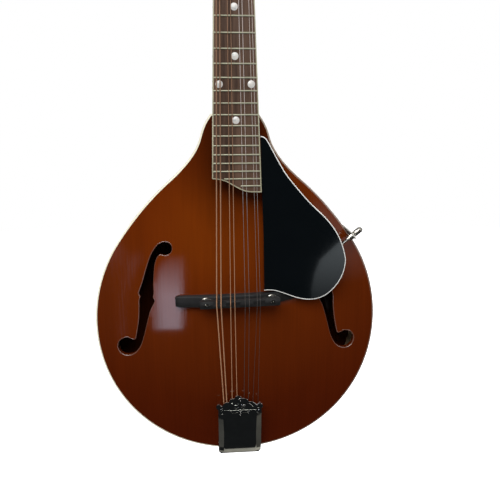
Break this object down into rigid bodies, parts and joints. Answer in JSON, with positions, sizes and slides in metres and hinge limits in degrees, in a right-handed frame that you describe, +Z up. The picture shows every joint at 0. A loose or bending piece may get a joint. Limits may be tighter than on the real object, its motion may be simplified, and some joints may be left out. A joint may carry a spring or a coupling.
{
  "type": "mandolin",
  "caption": "Teardrop archtop mandolin with f-holes, paired steel strings, floating adjustable bridge, raised pickguard and geared tuners.",
  "frame": {"origin": "centre of the flat outer face of the end pin, at the middle of the rim's depth", "axes": "+Z up the neck towards the headstock, -Y out of the front (strings side), +X to the treble side"},
  "size_m": [0.2544, 0.0979, 0.6633],
  "materials": {
    "amber_top": "amber to brown sunburst spruce under gloss lacquer",
    "brown_lacquer": "dark reddish-brown maple under gloss lacquer",
    "cream_binding": "cream plastic, satin",
    "bare_spruce": "unfinished spruce",
    "ebony": "black ebony, satin",
    "rosewood": "open-grained rosewood with nickel frets",
    "bone": "off-white bone, satin",
    "black_plastic": "black plastic, high gloss",
    "plain_steel": "plain tinned steel",
    "nickel": "nickel plate",
    "chrome": "bright chrome plate",
    "brass": "brass",
    "wound_bronze": "phosphor bronze winding",
    "pearl_plastic": "white pearl plastic button on a nickel shaft"
  },
  "bodies": {
    "body": {"top_plate": "amber_top", "back_plate": "brown_lacquer", "rim": "brown_lacquer", "neck": "brown_lacquer", "top_binding": "cream_binding", "back_binding": "cream_binding", "fretboard_binding": "cream_binding", "top_lining": "bare_spruce", "back_lining": "bare_spruce", "tone_bar_bass": "bare_spruce", "tone_bar_treble": "bare_spruce", "head_block": "bare_spruce", "tail_block": "bare_spruce", "headplate": "ebony", "fretboard": "rosewood", "nut": "bone", "truss_rod": "plain_steel", "truss_rod_cover": "black_plastic", "bridge_base": "ebony", "bridge_post_bass": "nickel", "bridge_post_treble": "nickel", "tailpiece_base": "chrome", "end_pin": "black_plastic", "pickguard": "black_plastic", "clamp_rod": "chrome", "clamp_foot": "nickel", "tuner_plate_bass": "nickel", "tuner_plate_treble": "nickel", "string_g_outer": "wound_bronze", "string_g_inner": "wound_bronze", "string_d_outer": "wound_bronze", "string_d_inner": "wound_bronze", "string_a_inner": "plain_steel", "string_a_outer": "plain_steel", "string_e_inner": "plain_steel", "string_e_outer": "plain_steel"},
    "saddle": {"bridge_saddle": "ebony"},
    "wheel_bass": {"bridge_wheel_bass": "nickel"},
    "wheel_treble": {"bridge_wheel_treble": "nickel"},
    "cover": {"tailpiece_cover": "chrome"},
    "truss_nut": {"truss_rod_nut": "brass"},
    "barrel": {"clamp_barrel": "chrome"},
    "knob_bass_1": {"tuner_knob_bass_1": "pearl_plastic"},
    "post_bass_1": {"tuner_post_bass_1": "nickel"},
    "knob_bass_2": {"tuner_knob_bass_2": "pearl_plastic"},
    "post_bass_2": {"tuner_post_bass_2": "nickel"},
    "knob_bass_3": {"tuner_knob_bass_3": "pearl_plastic"},
    "post_bass_3": {"tuner_post_bass_3": "nickel"},
    "knob_bass_4": {"tuner_knob_bass_4": "pearl_plastic"},
    "post_bass_4": {"tuner_post_bass_4": "nickel"},
    "knob_treble_1": {"tuner_knob_treble_1": "pearl_plastic"},
    "post_treble_1": {"tuner_post_treble_1": "nickel"},
    "knob_treble_2": {"tuner_knob_treble_2": "pearl_plastic"},
    "post_treble_2": {"tuner_post_treble_2": "nickel"},
    "knob_treble_3": {"tuner_knob_treble_3": "pearl_plastic"},
    "post_treble_3": {"tuner_post_treble_3": "nickel"},
    "knob_treble_4": {"tuner_knob_treble_4": "pearl_plastic"},
    "post_treble_4": {"tuner_post_treble_4": "nickel"}
  },
  "joints": [
    {"name": "saddle_height", "type": "slide", "parent": "body", "child": "saddle", "axis": [0, -1, 0], "range_m": [-0.001, 0.002], "deforming": ["string_g_outer", "string_g_inner", "string_d_outer", "string_d_inner", "string_a_inner", "string_a_outer", "string_e_inner", "string_e_outer"]},
    {"name": "wheel_bass_turn", "type": "hinge", "parent": "saddle", "child": "wheel_bass", "pos_m": [-0.02749, -0.0473, 0.16333], "axis": [0, -1, 0], "range_deg": [-530, 1060]},
    {"name": "wheel_treble_turn", "type": "hinge", "parent": "saddle", "child": "wheel_treble", "pos_m": [0.02909, -0.0473, 0.16471], "axis": [0, -1, 0], "range_deg": [-530, 1060]},
    {"name": "cover_slide", "type": "slide", "parent": "body", "child": "cover", "axis": [0, -1, 0], "range_m": [0, 0.04]},
    {"name": "truss_nut_turn", "type": "hinge", "parent": "body", "child": "truss_nut", "pos_m": [0, -0.01455, 0.5214], "axis": [0, 0, 1], "range_deg": [-360, 360]},
    {"name": "barrel_turn", "type": "hinge", "parent": "body", "child": "barrel", "pos_m": [0.10542, -0.03431, 0.22024], "axis": [0.796, 0.0995, 0.597], "range_deg": [-360, 360]},
    {"name": "knob_bass_1_turn", "type": "hinge", "parent": "body", "child": "knob_bass_1", "pos_m": [-0.03, 0.00453, 0.5353], "axis": [-1, 0, 0], "continuous": true},
    {"name": "post_bass_1_turn", "type": "hinge", "parent": "body", "child": "post_bass_1", "pos_m": [-0.019, -0.01083, 0.54831], "axis": [0, -0.9505, 0.3107], "continuous": true},
    {"name": "knob_bass_2_turn", "type": "hinge", "parent": "body", "child": "knob_bass_2", "pos_m": [-0.03, 0.01177, 0.55744], "axis": [-1, 0, 0], "continuous": true},
    {"name": "post_bass_2_turn", "type": "hinge", "parent": "body", "child": "post_bass_2", "pos_m": [-0.019, -0.0036, 0.57046], "axis": [0, -0.9505, 0.3107], "continuous": true},
    {"name": "knob_bass_3_turn", "type": "hinge", "parent": "body", "child": "knob_bass_3", "pos_m": [-0.03, 0.01901, 0.57959], "axis": [-1, 0, 0], "continuous": true},
    {"name": "post_bass_3_turn", "type": "hinge", "parent": "body", "child": "post_bass_3", "pos_m": [-0.019, 0.00364, 0.59261], "axis": [0, -0.9505, 0.3107], "continuous": true},
    {"name": "knob_bass_4_turn", "type": "hinge", "parent": "body", "child": "knob_bass_4", "pos_m": [-0.03, 0.02625, 0.60174], "axis": [-1, 0, 0], "continuous": true},
    {"name": "post_bass_4_turn", "type": "hinge", "parent": "body", "child": "post_bass_4", "pos_m": [-0.019, 0.01088, 0.61476], "axis": [0, -0.9505, 0.3107], "continuous": true},
    {"name": "knob_treble_1_turn", "type": "hinge", "parent": "body", "child": "knob_treble_1", "pos_m": [0.03, 0.00453, 0.5353], "axis": [1, 0, 0], "continuous": true},
    {"name": "post_treble_1_turn", "type": "hinge", "parent": "body", "child": "post_treble_1", "pos_m": [0.019, -0.01083, 0.54831], "axis": [0, -0.9505, 0.3107], "continuous": true},
    {"name": "knob_treble_2_turn", "type": "hinge", "parent": "body", "child": "knob_treble_2", "pos_m": [0.03, 0.01177, 0.55744], "axis": [1, 0, 0], "continuous": true},
    {"name": "post_treble_2_turn", "type": "hinge", "parent": "body", "child": "post_treble_2", "pos_m": [0.019, -0.0036, 0.57046], "axis": [0, -0.9505, 0.3107], "continuous": true},
    {"name": "knob_treble_3_turn", "type": "hinge", "parent": "body", "child": "knob_treble_3", "pos_m": [0.03, 0.01901, 0.57959], "axis": [1, 0, 0], "continuous": true},
    {"name": "post_treble_3_turn", "type": "hinge", "parent": "body", "child": "post_treble_3", "pos_m": [0.019, 0.00364, 0.59261], "axis": [0, -0.9505, 0.3107], "continuous": true},
    {"name": "knob_treble_4_turn", "type": "hinge", "parent": "body", "child": "knob_treble_4", "pos_m": [0.03, 0.02625, 0.60174], "axis": [1, 0, 0], "continuous": true},
    {"name": "post_treble_4_turn", "type": "hinge", "parent": "body", "child": "post_treble_4", "pos_m": [0.019, 0.01088, 0.61476], "axis": [0, -0.9505, 0.3107], "continuous": true}
  ],
  "couplings": [
    {"joint": "post_bass_1_turn", "follows": "knob_bass_1_turn", "ratio": 0.066667},
    {"joint": "post_bass_2_turn", "follows": "knob_bass_2_turn", "ratio": 0.066667},
    {"joint": "post_bass_3_turn", "follows": "knob_bass_3_turn", "ratio": 0.066667},
    {"joint": "post_bass_4_turn", "follows": "knob_bass_4_turn", "ratio": 0.066667},
    {"joint": "post_treble_1_turn", "follows": "knob_treble_1_turn", "ratio": 0.066667},
    {"joint": "post_treble_2_turn", "follows": "knob_treble_2_turn", "ratio": 0.066667},
    {"joint": "post_treble_3_turn", "follows": "knob_treble_3_turn", "ratio": 0.066667},
    {"joint": "post_treble_4_turn", "follows": "knob_treble_4_turn", "ratio": 0.066667},
    {"joint": "wheel_bass_turn", "follows": "saddle_height", "rad_per_m": 8976},
    {"joint": "wheel_treble_turn", "follows": "saddle_height", "rad_per_m": 8976}
  ]
}
